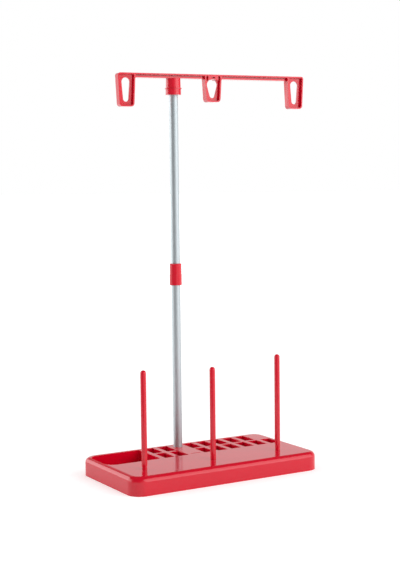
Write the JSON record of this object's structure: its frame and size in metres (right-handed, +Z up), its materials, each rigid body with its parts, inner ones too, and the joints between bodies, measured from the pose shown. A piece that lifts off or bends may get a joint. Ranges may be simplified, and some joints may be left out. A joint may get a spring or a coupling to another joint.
{
  "type": "thread rack",
  "caption": "Free-standing thread rack: a moulded base with spool pins, bobbin pockets and a notions well, and a tall plug-in mast with a swivelling arm of thread eyes.",
  "frame": {"origin": "on the surface that the rack stands on, in line with the mast and the middle pin, midway between the front and back of the base", "axes": "+Z up along the mast, +X to the right along the row of pins, -Y to the front"},
  "size_m": [0.2907, 0.1366, 0.4723],
  "materials": {
    "red_plastic": "glossy injection-moulded polystyrene, self-coloured red",
    "tube_metal": "drawn aluminium tube, satin clear anodised"
  },
  "bodies": {
    "base": {"base": "red_plastic"},
    "left_pin": {"pin_left": "red_plastic"},
    "middle_pin": {"pin_middle": "red_plastic"},
    "right_pin": {"pin_right": "red_plastic"},
    "lower_mast": {"lower_tube": "tube_metal", "coupler": "red_plastic"},
    "upper_mast": {"upper_tube": "tube_metal"},
    "head": {"swivel_bush": "red_plastic"},
    "arm": {"guide_arm": "red_plastic"}
  },
  "joints": [
    {"name": "left_pin_push", "type": "slide", "parent": "base", "child": "left_pin", "axis": [0, 0, 1], "range_m": [-0.0038, 0.0142]},
    {"name": "middle_pin_push", "type": "slide", "parent": "base", "child": "middle_pin", "axis": [0, 0, 1], "range_m": [0, 0.018]},
    {"name": "right_pin_push", "type": "slide", "parent": "base", "child": "right_pin", "axis": [0, 0, 1], "range_m": [-0.0075, 0.0105]},
    {"name": "lower_mast_lift", "type": "slide", "parent": "base", "child": "lower_mast", "axis": [0, 0, 1], "range_m": [0, 0.019]},
    {"name": "upper_mast_lift", "type": "slide", "parent": "lower_mast", "child": "upper_mast", "axis": [0, 0, 1], "range_m": [0, 0.0122]},
    {"name": "head_lift", "type": "slide", "parent": "upper_mast", "child": "head", "axis": [0, 0, 1], "range_m": [0, 0.0157]},
    {"name": "arm_swivel", "type": "hinge", "parent": "head", "child": "arm", "pos_m": [0, 0.0501, 0.46], "axis": [0, 0, 1], "continuous": true}
  ]
}
